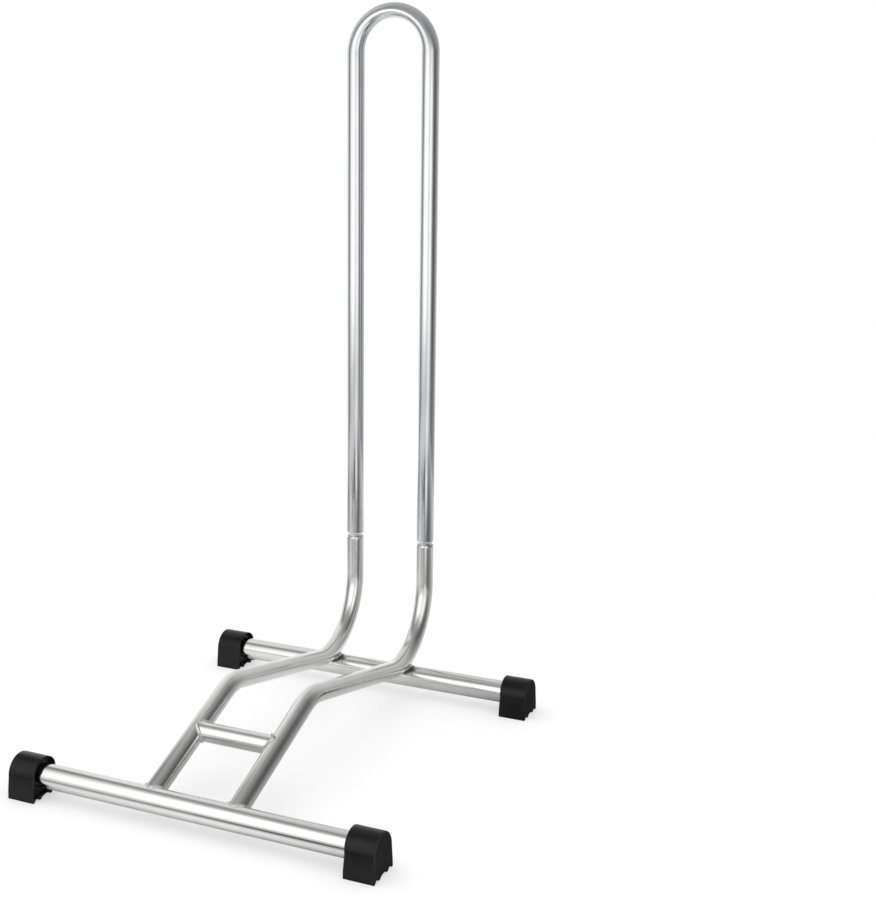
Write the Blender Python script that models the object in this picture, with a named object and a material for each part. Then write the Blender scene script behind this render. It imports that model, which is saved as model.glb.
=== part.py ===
"""Floor stand for one bicycle wheel.

Two foot tubes lie across the floor. Two bent side tubes are welded to them, a cross tube joins the
side tubes, and a hoop plugs into their upper ends. The wheel stands between the side tubes and inside
the hoop. Metres, +Z up. X runs along the foot tubes and Y from the front foot towards the hoop.
The origin is on the floor, at the middle of the box around the stand.
"""

import bpy
import bmesh
import math
from mathutils import Matrix, Vector

# Overall sizes
STAND_WIDTH = 0.323
STAND_HEIGHT = 0.637
FOOT_SPACING = 0.328
HOOP_SETBACK = 0.372
WHEEL_GAP = 0.058

# Tubes
TUBE_RADIUS = 0.008
TUBE_WALL = 0.0012
FOOT_RADIUS = 0.010
FOOT_WALL = 0.0012
FOOT_AXIS_HEIGHT = 0.018

# Side tubes: the peak is the corner that the first bend rounds off
PEAK_SETBACK = 0.129
PEAK_HEIGHT = 0.070
PEAK_BEND_RADIUS = 0.046
LOW_BEND_RADIUS = 0.066
AIM_ABOVE_FOOT_AXIS = 0.0012
SOCKET_HEIGHT = 0.136
LIP_LENGTH = 0.003
LIP_ROUNDING = 0.0008
CROSS_TUBE_SETBACK = 0.0715

# Hoop: its ends are necked down to fit the bore of the side tubes
SPIGOT_CLEARANCE = 0.0003
SPIGOT_END_CLEARANCE = 0.004
NECK_LENGTH = 0.0045
ARCH_FLATTENING = 0.18

# End caps
CAP_LENGTH = 0.025
CAP_END_WALL = 0.003
CAP_ARCH_RADIUS = 0.0155
CAP_BASE_DEPTH = 0.033
CAP_CORNER_RADIUS = 0.0015
TOOTH_WIDTH = 0.0020
TOOTH_HEIGHT = 0.0022
MIDDLE_TEETH_SPACING = 0.0140

# Welds
BEAD_RADIUS = 0.0022
BEAD_CORNER_RADIUS = 0.0026
SADDLE_WELD_RADIUS = 0.0065
SADDLE_WELD_THICKNESS = 0.0045

# Gap left between two pieces that touch on the real stand
GAP = 0.0003

# Fineness of the round shapes
TUBE_SIDES = 24
CAP_SIDES = 32
BEND_STEP = math.radians(7.5)
CAP_ARCH_STEPS = 20
BEAD_STEPS = 40

# Places that follow from the sizes above
SIDE_X = WHEEL_GAP / 2 + TUBE_RADIUS
DEPTH = CAP_BASE_DEPTH / 2 + HOOP_SETBACK + TUBE_RADIUS
FRONT_Y = CAP_BASE_DEPTH / 2 - DEPTH / 2
REAR_Y = FRONT_Y + FOOT_SPACING
HOOP_Y = FRONT_Y + HOOP_SETBACK
BORE_RADIUS = TUBE_RADIUS - TUBE_WALL
SPIGOT_RADIUS = BORE_RADIUS - SPIGOT_CLEARANCE
ARCH_HEIGHT = STAND_HEIGHT - SIDE_X - TUBE_RADIUS * (1 - ARCH_FLATTENING)
CAP_INNER_X = STAND_WIDTH / 2 - CAP_LENGTH
FOOT_END_X = STAND_WIDTH / 2 - CAP_END_WALL - GAP


def flat(y, z):
    """A point in the Y-Z plane of a side tube."""
    return Vector((y, z))


def turn(vector, angle):
    """The 2D vector turned anticlockwise by the angle."""
    return Matrix.Rotation(angle, 2) @ vector


def arc(centre, radius, start, end, step=BEND_STEP):
    """Points on an arc in a plane, from one angle to the other, both ends included."""
    count = max(2, round(abs(end - start) / step))
    return [centre + radius * Vector((math.cos(a), math.sin(a)))
            for a in (start + (end - start) * i / count for i in range(count + 1))]


def bend_over_rear_foot():
    """Centre of the low bend, which seats the side tube on the rear foot tube."""
    reach = LOW_BEND_RADIUS + TUBE_RADIUS + FOOT_RADIUS + GAP
    y = HOOP_Y - LOW_BEND_RADIUS
    return flat(y, FOOT_AXIS_HEIGHT + math.sqrt(reach ** 2 - (REAR_Y - y) ** 2))


def side_path():
    """The side tube's centreline in its own plane, all of it and its low bend alone, and its climb's angle."""
    start = flat(FRONT_Y, FOOT_AXIS_HEIGHT + AIM_ABOVE_FOOT_AXIS)
    peak = flat(FRONT_Y + PEAK_SETBACK, PEAK_HEIGHT)
    centre = bend_over_rear_foot()
    climb = math.atan2(peak.y - start.y, peak.x - start.x)
    to_centre = centre - peak
    fall = math.atan2(to_centre.y, to_centre.x) - math.asin(LOW_BEND_RADIUS / to_centre.length)
    tangent = PEAK_BEND_RADIUS * math.tan((climb - fall) / 2)
    bend_start = peak - tangent * flat(math.cos(climb), math.sin(climb))
    peak_centre = bend_start + PEAK_BEND_RADIUS * flat(math.sin(climb), -math.cos(climb))
    quarter = math.pi / 2
    peak_bend = arc(peak_centre, PEAK_BEND_RADIUS, climb + quarter, fall + quarter)
    low_bend = arc(centre, LOW_BEND_RADIUS, fall - quarter, 0)
    return [start] + peak_bend + low_bend, low_bend, climb


SIDE_POINTS, LOW_BEND_POINTS, CLIMB = side_path()
SOCKET_MOUTH = flat(HOOP_Y, SOCKET_HEIGHT)
LOW_BEND = bend_over_rear_foot()
SPIGOT_END = LOW_BEND.y + SPIGOT_END_CLEARANCE
CLIMB_DIRECTION = flat(math.cos(CLIMB), math.sin(CLIMB))
CROSS_TUBE = SIDE_POINTS[0] + CLIMB_DIRECTION * (CROSS_TUBE_SETBACK / math.cos(CLIMB))


# Scene, collections and materials

for leftover in list(bpy.data.objects):
    bpy.data.objects.remove(leftover)


def collection(name):
    made = bpy.data.collections.new(name)
    bpy.context.scene.collection.children.link(made)
    return made


PIECES = collection("bike_stand")
CUTTERS = collection("cutters")


def material(name, colour, roughness, metallic):
    made = bpy.data.materials.new(name)
    made.use_nodes = True
    shader = made.node_tree.nodes["Principled BSDF"]
    shader.inputs["Base Color"].default_value = (*colour, 1)
    shader.inputs["Roughness"].default_value = roughness
    shader.inputs["Metallic"].default_value = metallic
    return made


ZINC = material("zinc_plate", (0.72, 0.72, 0.71), 0.25, 1.0)
WELD = material("weld_bead", (0.50, 0.50, 0.49), 0.45, 1.0)
BLACK_PLASTIC = material("black_plastic", (0.022, 0.022, 0.023), 0.5, 0.0)


# Building blocks

def as_mesh(maker, name, where):
    """Replace a curve object by a mesh object of the same shape, with its end caps joined on."""
    bpy.context.view_layer.update()
    evaluated = maker.evaluated_get(bpy.context.evaluated_depsgraph_get())
    mesh = bpy.data.meshes.new_from_object(evaluated)
    mesh.name = name
    work = bmesh.new()
    work.from_mesh(mesh)
    bmesh.ops.remove_doubles(work, verts=work.verts, dist=0.000001)
    work.to_mesh(mesh)
    work.free()
    made = bpy.data.objects.new(name, mesh)
    made.matrix_world = maker.matrix_world
    where.objects.link(made)
    bpy.data.objects.remove(maker)
    return made


def rod(name, points, radii, where, closed=False, capped=True, sides=TUBE_SIDES):
    """A round bar along the points, with its own radius at each point."""
    curve = bpy.data.curves.new(name, "CURVE")
    curve.dimensions = "3D"
    curve.bevel_depth = 1
    curve.bevel_resolution = (sides - 4) // 2
    curve.use_fill_caps = capped and not closed
    line = curve.splines.new("POLY")
    line.points.add(len(points) - 1)
    line.use_cyclic_u = closed
    for knot, place, radius in zip(line.points, points, radii):
        knot.co = (*place, 1)
        knot.radius = radius
    maker = bpy.data.objects.new(name + "_curve", curve)
    where.objects.link(maker)
    return as_mesh(maker, name, where)


def pipe(name, points, radii, bores):
    """A hollow tube along the points, open at both ends, with its own outer and bore radius at each."""
    piece = rod(name, points, radii, PIECES, capped=False)
    lining = rod(name + "_lining", points, bores, PIECES, capped=False)
    work = bmesh.new()
    work.from_mesh(lining.data)
    bmesh.ops.reverse_faces(work, faces=work.faces)
    work.from_mesh(piece.data)
    for end in (points[0], points[-1]):
        reach = 2 * max(radii)
        rims = [edge for edge in work.edges if edge.is_boundary and (edge.verts[0].co - end).length < reach]
        bmesh.ops.bridge_loops(work, edges=rims)
    bmesh.ops.recalc_face_normals(work, faces=work.faces)
    work.to_mesh(piece.data)
    work.free()
    bpy.data.meshes.remove(lining.data)
    return piece


def clearance(name, points, radius):
    """A bar a gap larger than a tube, to shape what is fitted to it, run on past both of its ends."""
    first = points[0] + (points[0] - points[1]).normalized() * radius
    last = points[-1] + (points[-1] - points[-2]).normalized() * radius
    line = [first, *points, last]
    made = rod(name, line, [radius + GAP] * len(line), CUTTERS)
    made.hide_render = True
    made.display_type = "WIRE"
    return made


def cut(piece, *tools):
    for tool in tools:
        step = piece.modifiers.new("cut_" + tool.name, "BOOLEAN")
        step.operation = "DIFFERENCE"
        step.solver = "EXACT"
        step.object = tool


def finish(piece, look):
    """Give a piece its material and smooth shading with crisp corners."""
    piece.data.materials.clear()
    piece.data.materials.append(look)
    piece.data.shade_smooth()
    piece.data.set_sharp_from_angle(angle=math.radians(40))
    return piece


# Foot tubes

def foot_tube(name, y):
    ends = [Vector((side * FOOT_END_X, y, FOOT_AXIS_HEIGHT)) for side in (-1, 1)]
    return finish(pipe(name, ends, [FOOT_RADIUS] * 2, [FOOT_RADIUS - FOOT_WALL] * 2), ZINC)


def foot_clearance(name, y):
    ends = [Vector((side * SIDE_X, y, FOOT_AXIS_HEIGHT)) for side in (-1, 1)]
    return clearance(name, ends, FOOT_RADIUS)


foot_tube("front_foot_tube", FRONT_Y)
foot_tube("rear_foot_tube", REAR_Y)
FRONT_FOOT_CLEARANCE = foot_clearance("front_foot_clearance", FRONT_Y)
REAR_FOOT_CLEARANCE = foot_clearance("rear_foot_clearance", REAR_Y)


# Side tubes: the lower end is shaped to the front foot, the upper end is an open socket with a rounded lip

def side_line(x, points):
    return [Vector((x, p.x, p.y)) for p in points]


def side_tube(name, x):
    bends = side_line(x, SIDE_POINTS)
    lip = side_line(x, [SOCKET_MOUTH - flat(0, LIP_LENGTH * step) for step in (1, 0.4, 0)])
    lip_radii = [TUBE_RADIUS - LIP_ROUNDING * share for share in (0, 0.35, 1)]
    radii = [TUBE_RADIUS] * len(bends) + lip_radii
    piece = pipe(name, bends + lip, radii, [BORE_RADIUS] * len(radii))
    cut(piece, FRONT_FOOT_CLEARANCE)
    return finish(piece, ZINC)


side_tube("left_side_tube", -SIDE_X)
side_tube("right_side_tube", SIDE_X)
LEFT_CLIMB_CLEARANCE = clearance("left_climb_clearance", side_line(-SIDE_X, SIDE_POINTS[:2]), TUBE_RADIUS)
RIGHT_CLIMB_CLEARANCE = clearance("right_climb_clearance", side_line(SIDE_X, SIDE_POINTS[:2]), TUBE_RADIUS)
LEFT_BEND_CLEARANCE = clearance("left_bend_clearance", side_line(-SIDE_X, LOW_BEND_POINTS), TUBE_RADIUS)
RIGHT_BEND_CLEARANCE = clearance("right_bend_clearance", side_line(SIDE_X, LOW_BEND_POINTS), TUBE_RADIUS)


# Cross tube, shaped at both ends to the side tubes

CROSS_LINE = [Vector((side * SIDE_X, CROSS_TUBE.x, CROSS_TUBE.y)) for side in (-1, 1)]
cross_tube = pipe("cross_tube", CROSS_LINE, [TUBE_RADIUS] * 2, [BORE_RADIUS] * 2)
cut(cross_tube, LEFT_CLIMB_CLEARANCE, RIGHT_CLIMB_CLEARANCE)
finish(cross_tube, ZINC)
CROSS_CLEARANCE = clearance("cross_clearance", CROSS_LINE, TUBE_RADIUS)


# Hoop: an upside-down U whose arch is a little flattened by the bending

def hoop_line():
    """Centreline points of the hoop and the tube's radius at each, from one spigot to the other."""
    leg = [(SPIGOT_END, SPIGOT_RADIUS), (SOCKET_HEIGHT + GAP, SPIGOT_RADIUS),
           (SOCKET_HEIGHT + GAP + NECK_LENGTH * 0.7, TUBE_RADIUS - TUBE_WALL * 0.25),
           (SOCKET_HEIGHT + GAP + NECK_LENGTH, TUBE_RADIUS)]
    arch = arc(Vector((0, ARCH_HEIGHT)), SIDE_X, math.pi, 0)
    points = [Vector((-SIDE_X, HOOP_Y, z)) for z, radius in leg]
    points += [Vector((p.x, HOOP_Y, p.y)) for p in arch]
    points += [Vector((SIDE_X, HOOP_Y, z)) for z, radius in reversed(leg)]
    necks = [radius for z, radius in leg]
    return points, necks + [TUBE_RADIUS] * len(arch) + necks[::-1]


def flatten_arch(piece):
    """Squeeze the bent tube towards its centreline, most at the top of the arch."""
    for vertex in piece.data.vertices:
        rise = vertex.co.z - ARCH_HEIGHT
        if rise > 0:
            reach = math.hypot(vertex.co.x, rise)
            squeezed = SIDE_X + (reach - SIDE_X) * (1 - ARCH_FLATTENING * rise / reach)
            vertex.co.x *= squeezed / reach
            vertex.co.z = ARCH_HEIGHT + rise * squeezed / reach


def hoop():
    points, radii = hoop_line()
    piece = pipe("hoop", points, radii, [radius - TUBE_WALL for radius in radii])
    flatten_arch(piece)
    return finish(piece, ZINC)


hoop()


# End caps: an arch over the tube, nearly upright sides, and four teeth that stand on the floor

def cap_outline():
    """The cap's outline seen along the tube, as (depth, height) points, anticlockwise from the floor."""
    half = CAP_BASE_DEPTH / 2
    middle = MIDDLE_TEETH_SPACING / 2
    teeth = [(-half, -half + TOOTH_WIDTH),
             (-middle - TOOTH_WIDTH / 2, -middle + TOOTH_WIDTH / 2),
             (middle - TOOTH_WIDTH / 2, middle + TOOTH_WIDTH / 2),
             (half - TOOTH_WIDTH, half)]
    outline = []
    for tooth, following in zip(teeth, teeth[1:] + [None]):
        outline += [flat(tooth[0], 0), flat(tooth[1], 0)]
        if following:
            span = following[0] - tooth[1]
            outline += [flat(tooth[1] + span * share, TOOTH_HEIGHT * math.sin(math.pi * share) ** 0.5)
                        for share in (0.1, 0.3, 0.5, 0.7, 0.9)]
    arch_centre = flat(0, FOOT_AXIS_HEIGHT)
    return outline + arc(arch_centre, CAP_ARCH_RADIUS, 0, math.pi, math.pi / CAP_ARCH_STEPS)


def cap_mesh():
    """The right-hand cap on a foot at Y = 0, from its open inner face to its rounded outer face."""
    outline = cap_outline()
    work = bmesh.new()
    face = work.faces.new([work.verts.new((CAP_INNER_X, p.x, p.y)) for p in outline])
    swept = bmesh.ops.extrude_face_region(work, geom=[face])["geom"]
    for vertex in (part for part in swept if isinstance(part, bmesh.types.BMVert)):
        vertex.co.x += CAP_LENGTH
    bmesh.ops.recalc_face_normals(work, faces=work.faces)
    outer_x = CAP_INNER_X + CAP_LENGTH
    rim = [edge for edge in work.edges
           if all(abs(v.co.x - outer_x) < GAP and v.co.z >= FOOT_AXIS_HEIGHT - GAP for v in edge.verts)]
    bmesh.ops.bevel(work, geom=rim, offset=CAP_CORNER_RADIUS, segments=3, profile=0.5, affect="EDGES")
    mesh = bpy.data.meshes.new("end_cap")
    work.to_mesh(mesh)
    work.free()
    shell = bpy.data.objects.new("end_cap", mesh)
    PIECES.objects.link(shell)
    mouth = Vector((CAP_INNER_X, 0, FOOT_AXIS_HEIGHT))
    seat = Vector((FOOT_END_X + GAP, 0, FOOT_AXIS_HEIGHT))
    bore = rod("end_cap_bore", [mouth - Vector((GAP * 10, 0, 0)), seat], [FOOT_RADIUS + GAP] * 2, CUTTERS,
               sides=CAP_SIDES)
    cut(shell, bore)
    bored = as_mesh(shell, "bored_end_cap", PIECES)
    bpy.data.objects.remove(bore)
    finished = bored.data
    bpy.data.objects.remove(bored)
    return finished


CAP = cap_mesh()


def end_cap(name, y, side):
    piece = bpy.data.objects.new(name, CAP)
    PIECES.objects.link(piece)
    piece.location = (0, y, 0)
    if side < 0:
        piece.rotation_euler = (0, 0, math.pi)
    return finish(piece, BLACK_PLASTIC)


for row, row_y in (("front", FRONT_Y), ("rear", REAR_Y)):
    end_cap(row + "_left_cap", row_y, -1)
    end_cap(row + "_right_cap", row_y, 1)


# Welds: a bead along the line where two tubes meet, kept clear of both

def bead(name, line, *tubes):
    piece = rod(name, line, [BEAD_RADIUS] * len(line), PIECES, closed=True, sides=8)
    cut(piece, *tubes)
    return finish(piece, WELD)


def front_joint(x):
    """Where a side tube's surface meets the front foot's surface."""
    across = turn(CLIMB_DIRECTION, math.pi / 2)
    offset = (SIDE_POINTS[0] - flat(FRONT_Y, FOOT_AXIS_HEIGHT)).dot(across)
    line = []
    for i in range(BEAD_STEPS):
        angle = math.tau * i / BEAD_STEPS
        height = offset + TUBE_RADIUS * math.sin(angle)
        along = math.sqrt(FOOT_RADIUS ** 2 - height ** 2)
        point = flat(FRONT_Y, FOOT_AXIS_HEIGHT) + height * across + along * CLIMB_DIRECTION
        line.append(Vector((x + TUBE_RADIUS * math.cos(angle), point.x, point.y)))
    return line


def cross_joint(side):
    """Where the cross tube's surface meets a side tube's surface, with its two corners rounded."""
    across = turn(CLIMB_DIRECTION, math.pi / 2)
    line = []
    for i in range(BEAD_STEPS):
        angle = math.tau * i / BEAD_STEPS
        along = TUBE_RADIUS * math.cos(angle)
        point = CROSS_TUBE + along * CLIMB_DIRECTION + TUBE_RADIUS * math.sin(angle) * across
        line.append(Vector((side * (SIDE_X - math.hypot(along, BEAD_CORNER_RADIUS)), point.x, point.y)))
    return line


def saddle_weld(name, x, bend):
    """The weld around the spot where a side tube's bend lies on the rear foot."""
    foot = flat(REAR_Y, FOOT_AXIS_HEIGHT)
    up = (LOW_BEND - foot).normalized()
    spot = foot + up * (FOOT_RADIUS + GAP / 2)
    bpy.ops.mesh.primitive_uv_sphere_add(segments=24, ring_count=12, radius=SADDLE_WELD_RADIUS)
    piece = bpy.context.object
    piece.name = name
    piece.data.name = name
    for owner in list(piece.users_collection):
        owner.objects.unlink(piece)
    PIECES.objects.link(piece)
    squash = Matrix.Diagonal((1, 1, SADDLE_WELD_THICKNESS / SADDLE_WELD_RADIUS, 1))
    lean = Matrix.Rotation(math.pi / 2 - math.atan2(up.y, up.x), 4, "X").inverted()
    piece.data.transform(Matrix.Translation((x, spot.x, spot.y)) @ lean @ squash)
    cut(piece, REAR_FOOT_CLEARANCE, bend)
    return finish(piece, WELD)


for label, side, climbing, bend in (("left", -1, LEFT_CLIMB_CLEARANCE, LEFT_BEND_CLEARANCE),
                                    ("right", 1, RIGHT_CLIMB_CLEARANCE, RIGHT_BEND_CLEARANCE)):
    bead("front_" + label + "_weld", front_joint(side * SIDE_X), FRONT_FOOT_CLEARANCE, climbing)
    bead("cross_" + label + "_weld", cross_joint(side), CROSS_CLEARANCE, climbing)
    saddle_weld("rear_" + label + "_weld", side * SIDE_X, bend)
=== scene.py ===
"""Looks of a floor stand for one bicycle wheel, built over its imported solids. Metres, +Z up."""

import bmesh
import bpy
import math
from mathutils import Matrix, Vector


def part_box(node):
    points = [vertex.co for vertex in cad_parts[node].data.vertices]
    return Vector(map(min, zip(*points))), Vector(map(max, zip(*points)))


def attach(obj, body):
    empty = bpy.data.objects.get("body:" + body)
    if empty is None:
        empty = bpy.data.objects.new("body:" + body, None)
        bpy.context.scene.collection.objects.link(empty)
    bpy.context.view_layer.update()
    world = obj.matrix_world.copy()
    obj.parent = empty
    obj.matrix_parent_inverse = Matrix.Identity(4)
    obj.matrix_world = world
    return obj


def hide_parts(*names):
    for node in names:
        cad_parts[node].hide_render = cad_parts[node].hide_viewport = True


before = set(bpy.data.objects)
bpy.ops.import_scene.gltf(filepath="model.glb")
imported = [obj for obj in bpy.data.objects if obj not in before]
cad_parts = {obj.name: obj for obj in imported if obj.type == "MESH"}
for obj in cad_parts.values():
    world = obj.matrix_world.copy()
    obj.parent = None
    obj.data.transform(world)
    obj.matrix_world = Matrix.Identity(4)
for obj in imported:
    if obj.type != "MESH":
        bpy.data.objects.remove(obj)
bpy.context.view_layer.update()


# Foot tubes
# Two straight lengths of welded steel tube, 20 mm across, cut square, polished and bright zinc plated.
# They lie across the floor and carry everything else.

TUBE_WALL = 0.0012
SAW_EDGE_ROUNDING = 0.0004
SAW_EDGE_ANGLES = (0, 30, 60, 90)
RUBBED_REACH = 0.0012
RUBBED_ANGLE = math.radians(20)
TUBE_SIDES = 72
BEND_STEPS = 30
MERGE_DISTANCE = 0.000002
TUBE_CREASE = math.radians(40)
FRAME_PLATE = ((0.75, 0.75, 0.745, 1), (0.80, 0.80, 0.79, 1))
FRAME_GLOSS = (0.12, 0.20)
ZINC_LINES = {"Line Width": 0.0007, "Line Length": 0.035, "Cloud Size": 0.018}
ZINC_RUBBING = {"Patch Size": 0.0016, "Amount": 0.6}
ZINC_BUMP = {"Strength": 0.2, "Distance": 0.000006}
RUBBED_ZINC = (0.86, 0.85, 0.83, 1)
LINE_NOISE = {"Scale": 1.0, "Detail": 3.0, "Roughness": 0.6}
CLOUD_NOISE = {"Detail": 4.0, "Roughness": 0.55}
RUB_NOISE = {"Detail": 3.0}
LINES_IN_GLOSS = 0.6
CLOUDS_IN_GLOSS = 0.4
CLOUDS_IN_HEIGHT = 0.4
RUB_THRESHOLD = 0.85
RUB_CONTRAST = 3.0
NOISE_LOW, NOISE_HIGH = 0.25, 0.75


def add_node(tree, kind, inputs=None, **settings):
    """A node with its settings, and each named input linked to a socket or set to a plain value."""
    made = tree.nodes.new(kind)
    for key, value in settings.items():
        setattr(made, key, value)
    for key, value in (inputs or {}).items():
        if isinstance(value, bpy.types.NodeSocket):
            tree.links.new(value, made.inputs[key])
        else:
            made.inputs[key].default_value = value
    return made


def maths(tree, operation, *values, kind="ShaderNodeMath"):
    """The result of one sum on sockets and plain numbers."""
    return add_node(tree, kind, dict(enumerate(values)), operation=operation).outputs[0]


def scaled(tree, vector, factor):
    """A vector made longer or shorter by a socket's number."""
    return add_node(tree, "ShaderNodeVectorMath", {0: vector, "Scale": factor}, operation="SCALE").outputs[0]


def new_group(name, kind, inputs, outputs):
    """A node group with named sockets, its input node and its output node."""
    tree = bpy.data.node_groups.new(name, kind)
    for label, socket in inputs:
        tree.interface.new_socket(label, in_out="INPUT", socket_type="NodeSocket" + socket)
    for label, socket in outputs:
        tree.interface.new_socket(label, in_out="OUTPUT", socket_type="NodeSocket" + socket)
    return tree, tree.nodes.new("NodeGroupInput").outputs, tree.nodes.new("NodeGroupOutput").inputs


def drawn_lines_group():
    """Fine lines along a tube, as drawing and polishing leave them, and soft clouds in the plating."""
    sizes = [("Tube Space", "Vector"), ("Line Width", "Float"), ("Line Length", "Float"),
             ("Cloud Size", "Float")]
    tree, given, result = new_group("drawn_lines", "ShaderNodeTree", sizes,
                                    [("Lines", "Float"), ("Clouds", "Float"), ("Height", "Float")])
    across = maths(tree, "DIVIDE", 1.0, given["Line Width"])
    along = maths(tree, "DIVIDE", 1.0, given["Line Length"])
    stretch = add_node(tree, "ShaderNodeCombineXYZ", {"X": across, "Y": across, "Z": along}).outputs[0]
    drawn = maths(tree, "MULTIPLY", given["Tube Space"], stretch, kind="ShaderNodeVectorMath")
    lines = add_node(tree, "ShaderNodeTexNoise", {"Vector": drawn, **LINE_NOISE})
    spread = maths(tree, "DIVIDE", 1.0, given["Cloud Size"])
    clouds = add_node(tree, "ShaderNodeTexNoise",
                      {"Vector": given["Tube Space"], "Scale": spread, **CLOUD_NOISE})
    tree.links.new(lines.outputs[0], result["Lines"])
    tree.links.new(clouds.outputs[0], result["Clouds"])
    height = maths(tree, "MULTIPLY_ADD", clouds.outputs[0], CLOUDS_IN_HEIGHT, lines.outputs[0])
    tree.links.new(height, result["Height"])
    return tree


def worn_edge_group():
    """Where an edge is rubbed: the piece's own edge mark, broken up by a fine pattern."""
    tree, given, result = new_group("worn_edge", "ShaderNodeTree",
                                    [("Edge", "Float"), ("Vector", "Vector"), ("Patch Size", "Float"),
                                     ("Amount", "Float")], [("Rubbed", "Float")])
    fineness = maths(tree, "DIVIDE", 1.0, given["Patch Size"])
    patches = add_node(tree, "ShaderNodeTexNoise",
                       {"Vector": given["Vector"], "Scale": fineness, **RUB_NOISE})
    kept = maths(tree, "SUBTRACT", maths(tree, "ADD", given["Edge"], patches.outputs[0]), RUB_THRESHOLD)
    sharper = maths(tree, "MULTIPLY", kept, RUB_CONTRAST)
    limited = add_node(tree, "ShaderNodeClamp", {"Value": sharper}).outputs[0]
    tree.links.new(maths(tree, "MULTIPLY", limited, given["Amount"]), result["Rubbed"])
    return tree


DRAWN_LINES = drawn_lines_group()
WORN_EDGE = worn_edge_group()


def attribute(tree, name):
    return add_node(tree, "ShaderNodeAttribute", attribute_name=name).outputs


def colour_mix(tree, factor, first, second):
    """The first colour where the factor is 0, the second where it is 1."""
    return add_node(tree, "ShaderNodeMix", {0: factor, 6: first, 7: second}, data_type="RGBA").outputs[2]


def spread_over(tree, value, low, high):
    """A noise taken from its usual range to the range that is wanted."""
    ranges = {"Value": value, "From Min": NOISE_LOW, "From Max": NOISE_HIGH, "To Min": low, "To Max": high}
    return add_node(tree, "ShaderNodeMapRange", ranges).outputs[0]


def new_look(name):
    """A material with its node tree and its shader."""
    look = bpy.data.materials.new(name)
    look.use_nodes = True
    return look, look.node_tree, look.node_tree.nodes["Principled BSDF"]


def drawn_lines(tree, space, sizes):
    """The lines, clouds and height that the finish lays out in a tube's own space."""
    return add_node(tree, "ShaderNodeGroup", {"Tube Space": space, **sizes}, node_tree=DRAWN_LINES).outputs


def rubbed_edges(tree, space, sizes):
    """1 where a piece's edges are rubbed bare, 0 where they aren't."""
    edge = attribute(tree, "edge")["Fac"]
    return add_node(tree, "ShaderNodeGroup", {"Edge": edge, "Vector": space, **sizes},
                    node_tree=WORN_EDGE).outputs[0]


def bump(tree, shader, height, sizes):
    """Gives a shader the relief of a height."""
    made = add_node(tree, "ShaderNodeBump", {"Height": height, **sizes})
    tree.links.new(made.outputs[0], shader.inputs["Normal"])


def zinc_finish(name, plate, gloss_range):
    """Bright zinc plate: metal with faint drawn lines, clouds in its gloss, and rubbed edges."""
    look, tree, shader = new_look(name)
    shader.inputs["Metallic"].default_value = 1.0
    space = attribute(tree, "tube_space")["Vector"]
    lines = drawn_lines(tree, space, ZINC_LINES)
    rubbed = rubbed_edges(tree, space, ZINC_RUBBING)
    clouded = colour_mix(tree, spread_over(tree, lines["Clouds"], 0, 1), *plate)
    tree.links.new(colour_mix(tree, rubbed, clouded, RUBBED_ZINC), shader.inputs["Base Color"])
    gloss = maths(tree, "MULTIPLY_ADD", lines["Lines"], LINES_IN_GLOSS,
                  maths(tree, "MULTIPLY", lines["Clouds"], CLOUDS_IN_GLOSS))
    tree.links.new(spread_over(tree, gloss, *gloss_range), shader.inputs["Roughness"])
    bump(tree, shader, lines["Height"], ZINC_BUMP)
    return look


FRAME_ZINC = zinc_finish("frame_zinc", FRAME_PLATE, FRAME_GLOSS)


def marked_ring(tree, sides):
    """A unit circle to sweep, which keeps each point's place on it."""
    circle = add_node(tree, "GeometryNodeCurvePrimitiveCircle", {"Resolution": sides, "Radius": 1.0})
    ring = add_node(tree, "GeometryNodeCaptureAttribute", {"Geometry": circle.outputs[0]}, domain="POINT")
    ring.capture_items.new("VECTOR", "Around")
    tree.links.new(tree.nodes.new("GeometryNodeInputPosition").outputs[0], ring.inputs[1])
    return ring


def swept(tree, placed, ring, radius):
    """The skin of a marked ring swept along a marked line."""
    sweep = {"Curve": placed.outputs[0], "Profile Curve": ring.outputs[0], "Scale": radius}
    return add_node(tree, "GeometryNodeCurveToMesh", sweep).outputs[0]


def stored(tree, shape, name, value, kind):
    """The shape with a value kept on its points."""
    kept = {"Geometry": shape, "Name": name, "Value": value}
    return add_node(tree, "GeometryNodeStoreNamedAttribute", kept, data_type=kind, domain="POINT").outputs[0]


def finished(tree, shape, around, along, material):
    """The shape as a plain mesh in its finish, laid out round the tube in X and Y and along it in Z."""
    along = add_node(tree, "ShaderNodeCombineXYZ", {"Z": along}).outputs[0]
    space = maths(tree, "ADD", around, along, kind="ShaderNodeVectorMath")
    spaced = stored(tree, shape, "tube_space", space, "FLOAT_VECTOR")
    plain = add_node(tree, "GeometryNodeRealizeInstances", {"Geometry": spaced}).outputs[0]
    return add_node(tree, "GeometryNodeSetMaterial", {"Geometry": plain, "Material": material}).outputs[0]


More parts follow.
